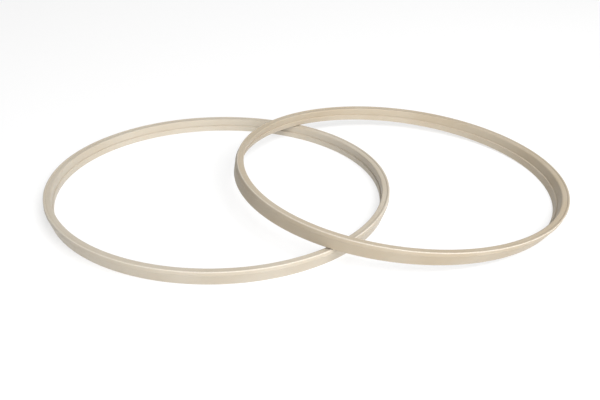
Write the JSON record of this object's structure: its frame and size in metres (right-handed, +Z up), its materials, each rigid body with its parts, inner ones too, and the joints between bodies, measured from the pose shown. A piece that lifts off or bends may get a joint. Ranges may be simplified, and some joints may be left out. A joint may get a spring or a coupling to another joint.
{
  "type": "pressure cooker sealing ring set",
  "caption": "Round moulded silicone sealing rings with a rim bead and an inner lip, for the lid of a stovetop pressure cooker, one lying partly across the other.",
  "frame": {"origin": "on the table, under the middle of the pair of rings", "axes": "+Z up from the table, +X from the lower ring's centre towards the upper ring's centre, along the pair's length"},
  "size_m": [0.3663, 0.24, 0.024],
  "materials": {
    "silicone": "matte, moulded"
  },
  "bodies": {
    "lower_ring": {"lower_sealing_ring": "silicone"},
    "upper_ring": {"upper_sealing_ring": "silicone"}
  },
  "joints": [
    {"name": "upper_ring_lift", "type": "slide", "parent": "lower_ring", "child": "upper_ring", "axis": [0, 0, 1], "range_m": [0, 0.06]}
  ]
}
